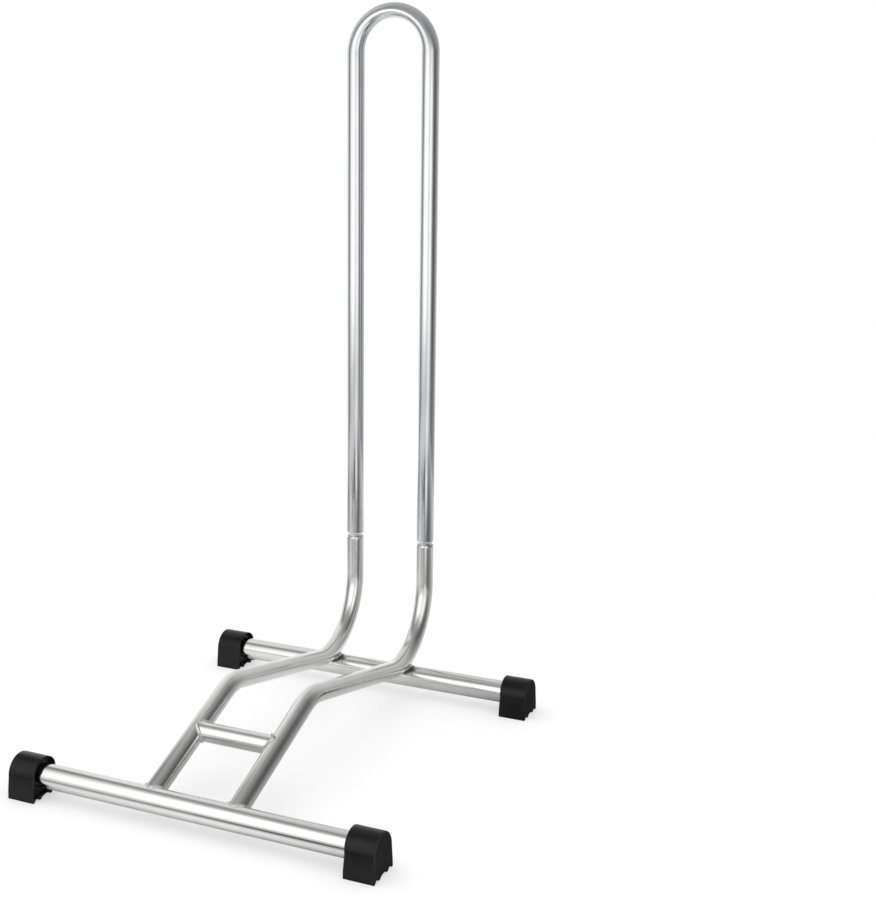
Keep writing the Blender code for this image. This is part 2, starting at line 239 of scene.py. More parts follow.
def swept_tube_tree():
    """Corner points in, bent tube out: corners rounded to their bend radii, both skins swept."""
    sizes = [("Corners", "Geometry"), ("Tube Radius", "Float"), ("Wall", "Float"), ("Sides", "Int"),
             ("Bend Steps", "Int"), ("Finish", "Material")]
    tree, given, result = new_group("swept_tube", "GeometryNodeTree", sizes, [("Tube", "Geometry")])

    def mark(name):
        named = add_node(tree, "GeometryNodeInputNamedAttribute", {"Name": name}, data_type="FLOAT")
        return named.outputs[0]

    line = add_node(tree, "GeometryNodeMeshToCurve", {"Mesh": given["Corners"]}).outputs[0]
    bend = {"Curve": line, "Count": given["Bend Steps"], "Radius": mark("bend_radius")}
    bent = add_node(tree, "GeometryNodeFilletCurve", bend, mode="POLY").outputs[0]
    placed = add_node(tree, "GeometryNodeCaptureAttribute", {"Geometry": bent}, domain="POINT")
    placed.capture_items.new("FLOAT", "Along")
    length = tree.nodes.new("GeometryNodeSplineParameter").outputs["Length"]
    tree.links.new(length, placed.inputs[1])
    ring = marked_ring(tree, given["Sides"])
    outer = maths(tree, "SUBTRACT", given["Tube Radius"], mark("narrowing"))
    half_wall = maths(tree, "MULTIPLY", given["Wall"], 0.5)
    turned_in = maths(tree, "MULTIPLY", half_wall, mark("rim"))
    skin_radius = maths(tree, "SUBTRACT", outer, turned_in)
    bore_radius = maths(tree, "ADD", maths(tree, "SUBTRACT", outer, given["Wall"]), turned_in)
    bore = swept(tree, placed, ring, bore_radius)
    lining = add_node(tree, "GeometryNodeFlipFaces", {"Mesh": bore}).outputs[0]
    both = tree.nodes.new("GeometryNodeJoinGeometry")
    tree.links.new(swept(tree, placed, ring, skin_radius), both.inputs[0])
    tree.links.new(lining, both.inputs[0])
    closed = add_node(tree, "GeometryNodeMergeByDistance",
                      {"Geometry": both.outputs[0], "Distance": MERGE_DISTANCE}).outputs[0]
    around = scaled(tree, ring.outputs[1], given["Tube Radius"])
    plated = finished(tree, closed, around, placed.outputs[1], given["Finish"])
    tree.links.new(plated, result["Tube"])
    return tree


SWEPT_TUBE = swept_tube_tree()


def shape_with_tree(name, points, marks, tree, values, closed=False):
    """Run a tree on a line of marked points and keep the result as a plain mesh object."""
    edges = [(i, i + 1) for i in range(len(points) - 1)]
    if closed:
        edges.append((len(points) - 1, 0))
    line = bpy.data.meshes.new(name + "_line")
    line.from_pydata(points, edges, [])
    for mark, numbers in marks.items():
        line.attributes.new(mark, "FLOAT", "POINT").data.foreach_set("value", numbers)
    guide = bpy.data.objects.new(name + "_guide", line)
    step = guide.modifiers.new("shape", "NODES")
    step.node_group = tree
    for item in tree.interface.items_tree:
        if item.in_out == "INPUT" and item.name in values:
            step[item.identifier] = values[item.name]
    bpy.context.scene.collection.objects.link(guide)
    seen = bpy.context.evaluated_depsgraph_get()
    mesh = bpy.data.meshes.new_from_object(guide.evaluated_get(seen))
    mesh.name = name
    guide.modifiers.clear()
    bpy.data.objects.remove(guide)
    bpy.data.meshes.remove(line)
    piece = bpy.data.objects.new(name, mesh)
    bpy.context.scene.collection.objects.link(piece)
    return piece


def bend_tube(name, stations, radius, finish):
    """A tube through its stations, each of them (place, bend radius, narrowing, rim)."""
    marks = {"bend_radius": [s[1] for s in stations], "narrowing": [s[2] for s in stations],
             "rim": [s[3] for s in stations]}
    values = {"Tube Radius": radius, "Wall": TUBE_WALL, "Sides": TUBE_SIDES, "Bend Steps": BEND_STEPS,
              "Finish": finish}
    return shape_with_tree(name, [s[0] for s in stations], marks, SWEPT_TUBE, values)


def sawn_end(tip, inward):
    """Stations that round both edges of a tube's cut end, from the tip inwards."""
    quarter = [math.radians(angle) for angle in SAW_EDGE_ANGLES]
    rounding = [(tip + inward * SAW_EDGE_ROUNDING * (1 - math.cos(angle)), 0, 0, 1 - math.sin(angle) ** 2)
                for angle in quarter]
    return rounding + [(tip + inward * (SAW_EDGE_ROUNDING + RUBBED_REACH), 0, 0, 0)]


def finish_mesh(piece, crease=TUBE_CREASE):
    """Point the faces outwards, smooth them with crisp corners, and mark the edges that get rubbed."""
    work = bmesh.new()
    work.from_mesh(piece.data)
    bmesh.ops.recalc_face_normals(work, faces=work.faces)
    sharp = [edge for edge in work.edges if edge.is_manifold and edge.calc_face_angle(0) > RUBBED_ANGLE]
    corner = {vertex.index for edge in sharp for vertex in edge.verts}
    work.to_mesh(piece.data)
    work.free()
    if "edge" not in piece.data.attributes:
        edge_mark = piece.data.attributes.new("edge", "FLOAT", "POINT")
        edge_mark.data.foreach_set("value", [float(i in corner) for i in range(len(piece.data.vertices))])
    piece.data.shade_smooth()
    piece.data.set_sharp_from_angle(angle=crease)
    return piece


def put_in_place(piece, body, slot_name, *nodes):
    """Ties a piece to its body and hides the nodes that it dresses; its slot name is not used."""
    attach(piece, body)
    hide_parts(*nodes)


def foot_tube(node):
    """One foot tube, as long and as thick as its node. Gives its middle and its radius."""
    low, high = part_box(node)
    axis = (low + high) / 2
    radius = (high.z - low.z) / 2
    left, right = Vector((low.x, axis.y, axis.z)), Vector((high.x, axis.y, axis.z))
    along = Vector((1, 0, 0))
    stations = sawn_end(left, along) + sawn_end(right, -along)[::-1]
    piece = finish_mesh(bend_tube(node + "_zinc", stations, radius, FRAME_ZINC))
    put_in_place(piece, "frame", "zinc_plate", node)
    return axis, radius


FRONT_AXIS, FOOT_RADIUS = foot_tube("front_foot_tube")
REAR_AXIS, _ = foot_tube("rear_foot_tube")


# Side tubes
# Two 16 mm tubes, each bent twice: up from the front foot, down to the rear foot, then straight up.
# The lower end is shaped to the front foot and the upper end is an open socket with a rolled lip.

SIDE_X = 0.037
HOOP_Y = 0.19025
SIDE_RADIUS = 0.008
START_ABOVE_FOOT_AXIS = 0.0012
PEAK_SETBACK = 0.129
PEAK_HEIGHT = 0.070
PEAK_BEND_RADIUS = 0.046
LOW_BEND_RADIUS = 0.066
WELD_GAP = 0.0003
SOCKET_HEIGHT = 0.136
LIP_LENGTH = 0.0022
LIP_ANGLES = (90, 67, 45, 22, 0)
CLEAR_OF_FOOT = 0.014


def side(y, z):
    """A point in the stand's middle plane, where the side tubes' shape is worked out."""
    return Vector((0, y, z))


SIDE_START = side(FRONT_AXIS.y, FRONT_AXIS.z + START_ABOVE_FOOT_AXIS)
PEAK = side(FRONT_AXIS.y + PEAK_SETBACK, PEAK_HEIGHT)
CLIMB = (PEAK - SIDE_START).normalized()
CLIMB_UP = side(-CLIMB.z, CLIMB.y)


def low_bend():
    """Centre of the bend that rests on the rear foot, and the corner that this bend rounds off."""
    reach = LOW_BEND_RADIUS + SIDE_RADIUS + FOOT_RADIUS + WELD_GAP
    y = HOOP_Y - LOW_BEND_RADIUS
    centre = side(y, REAR_AXIS.z + math.sqrt(reach ** 2 - (REAR_AXIS.y - y) ** 2))
    to_centre = centre - PEAK
    fall = math.atan2(to_centre.z, to_centre.y) - math.asin(LOW_BEND_RADIUS / to_centre.length)
    return centre, side(HOOP_Y, PEAK.z + math.tan(fall) * (HOOP_Y - PEAK.y))


LOW_BEND_CENTRE, LOW_CORNER = low_bend()


def side_stations(x):
    """Stations of one side tube, from the front foot up to the rolled lip of its socket."""
    shift = Vector((x, 0, 0))
    mouth = side(HOOP_Y, SOCKET_HEIGHT)
    stations = [(SIDE_START, 0, 0, 1), (SIDE_START + CLIMB * SAW_EDGE_ROUNDING, 0, 0, 0),
                (SIDE_START + CLIMB * CLEAR_OF_FOOT, 0, 0, 0),
                (PEAK, PEAK_BEND_RADIUS, 0, 0), (LOW_CORNER, LOW_BEND_RADIUS, 0, 0)]
    stations.append((mouth - side(0, LIP_LENGTH + RUBBED_REACH), 0, 0, 0))
    for angle in LIP_ANGLES:
        turn = math.radians(angle)
        stations.append((mouth - side(0, LIP_LENGTH * (1 - math.cos(turn))), 0, 0, 1 - math.sin(turn)))
    return [(place + shift, bend, narrowing, rim) for place, bend, narrowing, rim in stations]


def fit_to_front_foot(piece):
    """Slide the vertices of the lower end along the tube until they lie on the front foot's surface."""
    for vertex in piece.data.vertices:
        place = vertex.co - Vector((vertex.co.x, SIDE_START.y, SIDE_START.z))
        if place.dot(CLIMB) < CLEAR_OF_FOOT / 2:
            height = place.dot(CLIMB_UP) + (SIDE_START - FRONT_AXIS).dot(CLIMB_UP)
            surface = math.sqrt(FOOT_RADIUS ** 2 - height ** 2)
            middle = Vector((vertex.co.x, FRONT_AXIS.y, FRONT_AXIS.z))
            vertex.co = middle + CLIMB_UP * height + CLIMB * surface


for node, x in (("left_side_tube", -SIDE_X), ("right_side_tube", SIDE_X)):
    piece = bend_tube(node + "_zinc", side_stations(x), SIDE_RADIUS, FRAME_ZINC)
    fit_to_front_foot(piece)
    put_in_place(finish_mesh(piece), "frame", "zinc_plate", node)


# Cross tube
# A short 16 mm tube between the climbing parts of the side tubes, which keeps them a tyre's width apart.
# Both ends are shaped to the side tubes and welded all round.

CROSS_SETBACK = 0.0715
CROSS_PLACE = SIDE_START + CLIMB * (CROSS_SETBACK / CLIMB.y)
CLEAR_OF_SIDE = 0.010


def fit_between_side_tubes(piece):
    """Slide the vertices at both ends along the tube until they lie on the side tubes' surfaces."""
    for vertex in piece.data.vertices:
        if abs(vertex.co.x) > SIDE_X - CLEAR_OF_SIDE / 2:
            height = (vertex.co - CROSS_PLACE).dot(CLIMB_UP)
            depth = math.sqrt(max(SIDE_RADIUS ** 2 - height ** 2, 0))
            vertex.co.x = math.copysign(SIDE_X - depth, vertex.co.x)


cross_stations = []
for turn in (-1, 1):
    ends = [(CROSS_PLACE + Vector((turn * (SIDE_X - inset), 0, 0)), 0, 0, rim)
            for inset, rim in ((0, 1), (SAW_EDGE_ROUNDING, 0), (CLEAR_OF_SIDE, 0))]
    cross_stations += ends[::-turn]
cross = bend_tube("cross_tube_zinc", cross_stations, SIDE_RADIUS, FRAME_ZINC)
fit_between_side_tubes(cross)
put_in_place(finish_mesh(cross), "frame", "zinc_plate", "cross_tube")


# Hoop
# One 16 mm tube bent to an upside-down U, the arch a little flattened by the bending.
# Its ends are necked down to spigots and drop into the sockets of the side tubes.

STAND_HEIGHT = 0.637
ARCH_FLATTENING = 0.18
ARCH_HEIGHT = STAND_HEIGHT - SIDE_X - SIDE_RADIUS * (1 - ARCH_FLATTENING)
# A hair less than half the hoop's width, so that the two corners of the arch don't meet
ARCH_BEND_RADIUS = SIDE_X * 0.9999
SPIGOT_NARROWING = 0.0015
SPIGOT_ABOVE_BEND = 0.004
SPIGOT_LOW_END = LOW_BEND_CENTRE.z + SPIGOT_ABOVE_BEND
MOUTH_GAP = 0.0003
NECK_START = SOCKET_HEIGHT + MOUTH_GAP
NECK_STRAIGHT = 0.0008
NECK_SHOULDER = 0.0034
NECK_STEPS = 8
HOOP_PLATE = ((0.72, 0.735, 0.75, 1), (0.775, 0.79, 0.80, 1))
HOOP_GLOSS = (0.09, 0.14)
HOOP_ZINC = zinc_finish("hoop_zinc", HOOP_PLATE, HOOP_GLOSS)


def eased(share):
    """A share from 0 to 1, with a soft start and a soft end."""
    share = min(max(share, 0.0), 1.0)
    return share * share * (3 - 2 * share)


def hoop_leg(x):
    """Stations of one leg, from the spigot's end up to the arch's corner."""
    def at(z, narrowing=0.0, bend=0.0, rim=0.0):
        return (Vector((x, HOOP_Y, z)), bend, narrowing, rim)

    leg = [at(place.z, SPIGOT_NARROWING, rim=rim)
           for place, _, _, rim in sawn_end(Vector((0, 0, SPIGOT_LOW_END)), Vector((0, 0, 1)))]
    leg.append(at(NECK_START, SPIGOT_NARROWING))
    for step in range(1, NECK_STEPS + 1):
        share = step / NECK_STEPS
        height = NECK_START + NECK_STRAIGHT + NECK_SHOULDER * share
        leg.append(at(height, SPIGOT_NARROWING * (1 - eased(share))))
    leg.append(at(ARCH_HEIGHT + SIDE_X, bend=ARCH_BEND_RADIUS))
    return leg


def flatten_arch(piece):
    """Squeeze the bent tube towards its centreline, most at the top of the arch."""
    for vertex in piece.data.vertices:
        rise = vertex.co.z - ARCH_HEIGHT
        if rise > 0:
            reach = math.hypot(vertex.co.x, rise)
            squeezed = SIDE_X + (reach - SIDE_X) * (1 - ARCH_FLATTENING * rise / reach)
            vertex.co.x *= squeezed / reach
            vertex.co.z = ARCH_HEIGHT + rise * squeezed / reach


hoop = bend_tube("hoop_zinc", hoop_leg(-SIDE_X) + hoop_leg(SIDE_X)[::-1], SIDE_RADIUS, HOOP_ZINC)
flatten_arch(hoop)
put_in_place(finish_mesh(hoop), "lift_off_hoop", "zinc_plate", "hoop")


# End caps
# Four caps of black moulded plastic pressed on the ends of the foot tubes.
# Each has an arched top, nearly upright sides, four ribs underneath that grip the floor, a shallow hollow
# round the tube and a coarser outer end. Both end faces and the hollow are darker; at the inner end and in
# the hollow that darkening is painted shade.

CAP_LENGTH = 0.025
CAP_END_WALL = 0.003
CAP_ARCH_RADIUS = 0.0155
CAP_CENTRE_HEIGHT = 0.018
CAP_BASE_DEPTH = 0.033
CAP_OUTER_ROUNDING = 0.0015
CAP_SIDE_ROUNDING = 0.0022
CAP_TOP_ROUNDING = 0.0003
CAP_LEAST_ROUNDING = 0.0003
CAP_FLAT_RIM = 0.0004
CAP_HOLLOW_DEPTH = 0.0036
CAP_ROUNDING_FROM = 0.006
CAP_ROUNDING_TO = 0.029
CAP_ROUNDING_STEPS = 6
CAP_ARCH_STEPS = 56
CAP_SIDE_STEPS = (0.33, 0.67)
CAP_CREASE = math.radians(32)
CAP_RUBBED_REACH = 0.0009
HOLLOW_RUBBING = 0.4
RIB_WIDTH = 0.0020
RIB_HEIGHT = 0.0022
MIDDLE_RIBS_SPACING = 0.0140
RIB_STEPS = 9
BORE_SIDES = 72
BORE_CLEARANCE = 0.00005
PLASTIC_SPECULAR = 0.25
PLASTIC_BODY = ((0.0025, 0.0025, 0.0027, 1), (0.006, 0.006, 0.0063, 1))
# Darker colour for both end faces and the hollow round the tube, painted shade at the inner end and in the
# hollow
PLASTIC_END_AND_HOLLOW_SHADE = ((0.001, 0.001, 0.001, 1), (0.005, 0.005, 0.005, 1))
RUBBED_PLASTIC = (0.024, 0.024, 0.025, 1)
PLASTIC_RUBBING = {"Patch Size": 0.0012, "Amount": 0.5}
PLASTIC_GLOSS = (0.25, 0.36)
PLASTIC_BUMP = {"Strength": 0.35, "Distance": 0.00012}
END_DULLNESS = 0.45
GRAIN = {"Scale": 2600.0, "Detail": 3.0}
MOTTLE = {"Scale": 150.0, "Detail": 4.0}


def moulded_plastic():
    """Black plastic with a fine sparked grain, uneven gloss, rougher and darker ends and slightly greyed
    edges; the darkening at the inner end and in its hollow is painted shade.
    """
    look, tree, shader = new_look("moulded_plastic")
    shader.inputs["Specular IOR Level"].default_value = PLASTIC_SPECULAR
    place = tree.nodes.new("ShaderNodeTexCoord").outputs["Object"]
    grain = add_node(tree, "ShaderNodeTexNoise", {"Vector": place, **GRAIN}).outputs[0]
    mottle = add_node(tree, "ShaderNodeTexNoise", {"Vector": place, **MOTTLE}).outputs[0]
    # The mark makes the ends and the hollow rougher and darker; the darkening at the inner end and in the
    # hollow is painted shade
    coarse_and_hollow_shade = attribute(tree, "coarse_and_hollow_shade")["Fac"]
    body = colour_mix(tree, spread_over(tree, mottle, 0, 1), *PLASTIC_BODY)
    end = colour_mix(tree, spread_over(tree, grain, 0, 1), *PLASTIC_END_AND_HOLLOW_SHADE)
    rubbed = rubbed_edges(tree, place, PLASTIC_RUBBING)
    colour = colour_mix(tree, rubbed, colour_mix(tree, coarse_and_hollow_shade, body, end), RUBBED_PLASTIC)
    tree.links.new(colour, shader.inputs["Base Color"])
    gloss = maths(tree, "MULTIPLY_ADD", coarse_and_hollow_shade, END_DULLNESS, spread_over(tree, mottle, *PLASTIC_GLOSS))
    tree.links.new(gloss, shader.inputs["Roughness"])
    bump(tree, shader, grain, PLASTIC_BUMP)
    return look


BLACK_PLASTIC = moulded_plastic()


def cap_outline():
    """The cap's outline seen along the tube as (depth, height), anticlockwise from the front rib."""
    half = CAP_BASE_DEPTH / 2
    middle = MIDDLE_RIBS_SPACING / 2
    ribs = [(-half, -half + RIB_WIDTH), (-middle - RIB_WIDTH / 2, -middle + RIB_WIDTH / 2),
            (middle - RIB_WIDTH / 2, middle + RIB_WIDTH / 2), (half - RIB_WIDTH, half)]
    outline = []
    for rib, following in zip(ribs, ribs[1:] + [None]):
        outline += [(rib[0], 0.0), (rib[1], 0.0)]
        if following:
            span = following[0] - rib[1]
            for i in range(1, RIB_STEPS + 1):
                share = (1 - math.cos(math.pi * i / (RIB_STEPS + 1))) / 2
                outline.append((rib[1] + span * share, RIB_HEIGHT * math.sqrt(math.sin(math.pi * share))))
    foot, rise = Vector((half, 0)), Vector((CAP_ARCH_RADIUS - half, CAP_CENTRE_HEIGHT))
    shares = (CAP_RUBBED_REACH / CAP_CENTRE_HEIGHT, *CAP_SIDE_STEPS)
    side_points = [foot + rise * share for share in shares]
    outline += [tuple(point) for point in side_points]
    for i in range(CAP_ARCH_STEPS + 1):
        angle = math.pi * i / CAP_ARCH_STEPS
        height = CAP_CENTRE_HEIGHT + CAP_ARCH_RADIUS * math.sin(angle)
        outline.append((CAP_ARCH_RADIUS * math.cos(angle), height))
    outline += [(-y, z) for y, z in reversed(side_points)]
    return outline


def inset(outline, depths):
    """The outline moved into the cap by a depth for each of its points, corners mitred."""
    corners = [Vector(place) for place in outline]
    moved = []
    for i, (corner, depth) in enumerate(zip(corners, depths)):
        before, after = corner - corners[i - 1], corners[(i + 1) % len(corners)] - corner
        first, second = (Vector((-run.y, run.x)).normalized() for run in (before, after))
        moved.append(corner + (first + second) * (depth / (1 + first.dot(second))))
    return moved


def recess_line(outline, walls):
    """The outline of the hollow round the tube, a wall's thickness inside the cap's own."""
    half = CAP_BASE_DEPTH / 2
    line = []
    for (y, z), wall in zip(outline, walls):
        bottom = RIB_HEIGHT + wall
        above = max(z - CAP_CENTRE_HEIGHT, 0.0)
        if z < bottom:
            line.append((y * (half - wall) / half, bottom))
        else:
            reach = math.hypot(y, above)
            share = (reach - wall) / reach
            line.append((y * share, CAP_CENTRE_HEIGHT + above * share if above > 0 else z))
    return line


def changing(height, start, end, low, high):
    """A size that goes softly from low to high between two heights."""
    return low + (high - low) * eased((height - start) / (end - start))


def rounded_end(outline, radii):
    """Rings that round the cap's edge, from its side to its end face, each set back from that face."""
    rings = [([radius + CAP_RUBBED_REACH for radius in radii], outline, 0.0, 0.0)]
    for i in range(CAP_ROUNDING_STEPS + 1):
        turn = math.pi / 2 * i / CAP_ROUNDING_STEPS
        back = [radius * (1 - math.sin(turn)) for radius in radii]
        line = inset(outline, [radius * (1 - math.cos(turn)) for radius in radii])
        rings.append((back, line, math.sin(2 * turn), math.sin(turn) ** 2))
    return rings


def cap_rings(outline):
    """Rings from the hollow's floor over the inner rim to the outer end, as (x, line, rubbed, coarse)."""
    inner, outer = [], []
    for _, z in outline:
        low = changing(z, CAP_ROUNDING_FROM, CAP_CENTRE_HEIGHT, CAP_LEAST_ROUNDING, CAP_SIDE_ROUNDING)
        high = changing(z, CAP_CENTRE_HEIGHT, CAP_ROUNDING_TO, CAP_SIDE_ROUNDING, CAP_TOP_ROUNDING)
        inner.append(min(low, high))
        outer.append(changing(z, CAP_ROUNDING_FROM, CAP_CENTRE_HEIGHT, CAP_LEAST_ROUNDING,
                              CAP_OUTER_ROUNDING))
    rim = [radius + CAP_FLAT_RIM for radius in inner]
    hollow = recess_line(outline, [width + CAP_LEAST_ROUNDING for width in rim])
    count = len(outline)
    # The hollow and the inner end get the whole mark: painted shade and a rougher surface
    rings = [([CAP_HOLLOW_DEPTH] * count, hollow, 0.0, 1.0),
             ([CAP_LEAST_ROUNDING] * count, hollow, HOLLOW_RUBBING, 1.0),
             ([0.0] * count, recess_line(outline, rim), HOLLOW_RUBBING, 1.0)]
    rings += rounded_end(outline, inner)[::-1]
    for backs, *rest in rounded_end(outline, outer):
        rings.append(([CAP_LENGTH - back for back in backs], *rest))
    end_line = inset(outline, [radius + CAP_RUBBED_REACH / 2 for radius in outer])
    rings.append(([CAP_LENGTH] * count, end_line, 0.0, 1.0))
    return rings


def bore_ring(work, x):
    """A ring of vertices where the tube's bore passes x."""
    radius = FOOT_RADIUS + BORE_CLEARANCE
    ring = []
    for i in range(BORE_SIDES):
        angle = math.tau * i / BORE_SIDES
        height = CAP_CENTRE_HEIGHT + radius * math.sin(angle)
        ring.append(work.verts.new((x, radius * math.cos(angle), height)))
    return ring


def join_rings(work, first, second):
    """A band of faces between two rings of as many vertices."""
    count = len(first)
    for i in range(count):
        j = (i + 1) % count
        work.faces.new((first[i], first[j], second[j], second[i]))


def end_cap(node):
    """One cap: its outline drawn out along the tube, both ends rounded, and a blind bore for the tube."""
    low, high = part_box(node)
    outward = 1 if high.x > 0 else -1
    work = bmesh.new()
    edge_mark = work.verts.layers.float.new("edge")
    coarse_and_hollow_shade_mark = work.verts.layers.float.new("coarse_and_hollow_shade")
    outline = cap_outline()
    rib_tips = {i for i, (_, z) in enumerate(outline) if z == 0.0}
    rings = []
    for places, line, rubbed, coarse_and_hollow_shade in cap_rings(outline):
        rings.append([work.verts.new((x, y, z)) for x, (y, z) in zip(places, line)])
        for i, vertex in enumerate(rings[-1]):
            vertex[edge_mark] = 1.0 if i in rib_tips else rubbed
            vertex[coarse_and_hollow_shade_mark] = coarse_and_hollow_shade
    for inner, outer in zip(rings, rings[1:]):
        join_rings(work, inner, outer)
    work.faces.new(rings[-1])
    mouth = bore_ring(work, CAP_HOLLOW_DEPTH)
    seat = bore_ring(work, CAP_LENGTH - CAP_END_WALL)
    join_rings(work, seat, mouth)
    work.faces.new(seat)
    bmesh.ops.bridge_loops(work, edges=[edge for edge in work.edges if edge.is_boundary])
    bmesh.ops.recalc_face_normals(work, faces=work.faces)
    turned = Matrix.Rotation(0 if outward > 0 else math.pi, 4, "Z")
    inner_x = low.x if outward > 0 else high.x
    place = Matrix.Translation((inner_x, (low.y + high.y) / 2, 0)) @ turned
    mesh = bpy.data.meshes.new(node + "_plastic")
    work.to_mesh(mesh)
    work.free()
    mesh.transform(place)
    mesh.materials.append(BLACK_PLASTIC)
    piece = bpy.data.objects.new(node + "_plastic", mesh)
    bpy.context.scene.collection.objects.link(piece)
    put_in_place(finish_mesh(piece, CAP_CREASE), "frame", "black_plastic", node)


for node in ("front_left_cap", "front_right_cap", "rear_left_cap", "rear_right_cap"):
    end_cap(node)


# Welds
# Short runs of melted wire where two tubes meet, each a row of overlapping ripples, plated over, with
# painted shade in the dips between the ripples. The side tubes' lower ends and the cross tube's ends are
# welded all round. A ring of weld joins each bend to the rear foot, and the zinc close by is painted darker
# and duller, as painted shade in the crevice.

BEAD_RADIUS = 0.0015
BEAD_SIDES = 20
RIPPLE_DEPTH = 0.23
RIPPLE_BOW = 0.5
UNEVENNESS = 0.5
LINE_STEPS = 400
FRONT_RIPPLES = 40
CROSS_RIPPLES = 38
SADDLE_RIPPLES = 24
CROSS_CORNER_ROUNDING = 0.0022
SADDLE_REACH = 0.0053
SADDLE_BEAD_RADIUS = 0.0018
RIPPLE_SHARPNESS = 2.5
LUMPS = {"Scale": 180.0, "Detail": 1.0}
WELD_LINES = {"Line Width": 0.0005, "Line Length": 0.0005, "Cloud Size": 0.003}
# Painted shade in the ripples' dips, and the plating's colour on their crests
WELD_PLATE_AND_DIP_SHADE = ((0.36, 0.355, 0.35, 1), (0.86, 0.86, 0.85, 1))
WELD_CLOUD = (0.62, 0.61, 0.59, 1)
WELD_CLOUD_SHARE = 0.4
WELD_GLOSS = (0.18, 0.34)
WELD_BUMP = {"Strength": 0.4, "Distance": 0.00008}
# Painted shade in the crevice where each bend rests on the rear foot: its reach, raggedness, colour and
# dulling
CREVICE_SHADE_FULL = 0.0072
CREVICE_SHADE_END = 0.0108
CREVICE_SHADE_RAGGED_REACH = 0.004
CREVICE_SHADE_RAGGEDNESS = {"Scale": 600.0, "Detail": 2.0}
CREVICE_SHADE_COLOUR = (0.15, 0.147, 0.142, 1)
CREVICE_SHADE_ROUGHNESS = 0.30


def weld_metal():
    """Plated weld: duller than the tubes, with painted shade in the dips between its ripples."""
    look, tree, shader = new_look("plated_weld")
    shader.inputs["Metallic"].default_value = 1.0
    lines = drawn_lines(tree, attribute(tree, "tube_space")["Vector"], WELD_LINES)
    # Painted shade in the dips between the ripples, set by the ripples' height
    plate = colour_mix(tree, attribute(tree, "ripple_height")["Fac"], *WELD_PLATE_AND_DIP_SHADE)
    clouds = spread_over(tree, lines["Clouds"], 0, WELD_CLOUD_SHARE)
    tree.links.new(colour_mix(tree, clouds, plate, WELD_CLOUD), shader.inputs["Base Color"])
    tree.links.new(spread_over(tree, lines["Lines"], *WELD_GLOSS), shader.inputs["Roughness"])
    bump(tree, shader, lines["Height"], WELD_BUMP)
    return look


def crevice_shade_group():
    """Painted shade, darker and duller, in the crevice where a bend rests on the rear foot: round a spot and
    its mirror image.
    """
    tree, given, result = new_group("crevice_shade", "ShaderNodeTree",
                                    [("Vector", "Vector"), ("Spot", "Vector"), ("Full Reach", "Float"),
                                     ("End Reach", "Float")], [("Scale", "Float")])
    parts = add_node(tree, "ShaderNodeSeparateXYZ", {"Vector": given["Vector"]}).outputs
    one_side = add_node(tree, "ShaderNodeCombineXYZ",
                        {"X": maths(tree, "ABSOLUTE", parts[0]), "Y": parts[1], "Z": parts[2]}).outputs[0]
    away = add_node(tree, "ShaderNodeVectorMath", {0: one_side, 1: given["Spot"]}, operation="DISTANCE")
    noise = add_node(tree, "ShaderNodeTexNoise", {"Vector": given["Vector"], **CREVICE_SHADE_RAGGEDNESS})
    ragged = maths(tree, "SUBTRACT", noise.outputs[0], 0.5)
    shifted = maths(tree, "MULTIPLY_ADD", ragged, CREVICE_SHADE_RAGGED_REACH, away.outputs["Value"])
    reach = {"Value": shifted, "From Min": given["End Reach"], "From Max": given["Full Reach"]}
    mark = add_node(tree, "ShaderNodeMapRange", reach, interpolation_type="SMOOTHSTEP")
    tree.links.new(mark.outputs[0], result["Scale"])
    return tree


def shade_crevice_near(look, spot):
    """Darkens and dulls a finish close to a weld, as painted shade in the crevice there."""
    tree = look.node_tree
    shader = tree.nodes["Principled BSDF"]
    colour, roughness = shader.inputs["Base Color"], shader.inputs["Roughness"]
    place = tree.nodes.new("ShaderNodeTexCoord").outputs["Object"]
    reach = {"Vector": place, "Spot": spot, "Full Reach": CREVICE_SHADE_FULL, "End Reach": CREVICE_SHADE_END}
    # The group's Scale output is the mask of the painted crevice shade
    scale = add_node(tree, "ShaderNodeGroup", reach, node_tree=CREVICE_SHADE_NODES).outputs[0]
    tree.links.new(colour_mix(tree, scale, colour.links[0].from_socket, CREVICE_SHADE_COLOUR), colour)
    dulled = maths(tree, "MULTIPLY_ADD", scale, CREVICE_SHADE_ROUGHNESS, roughness.links[0].from_socket)
    tree.links.new(dulled, roughness)


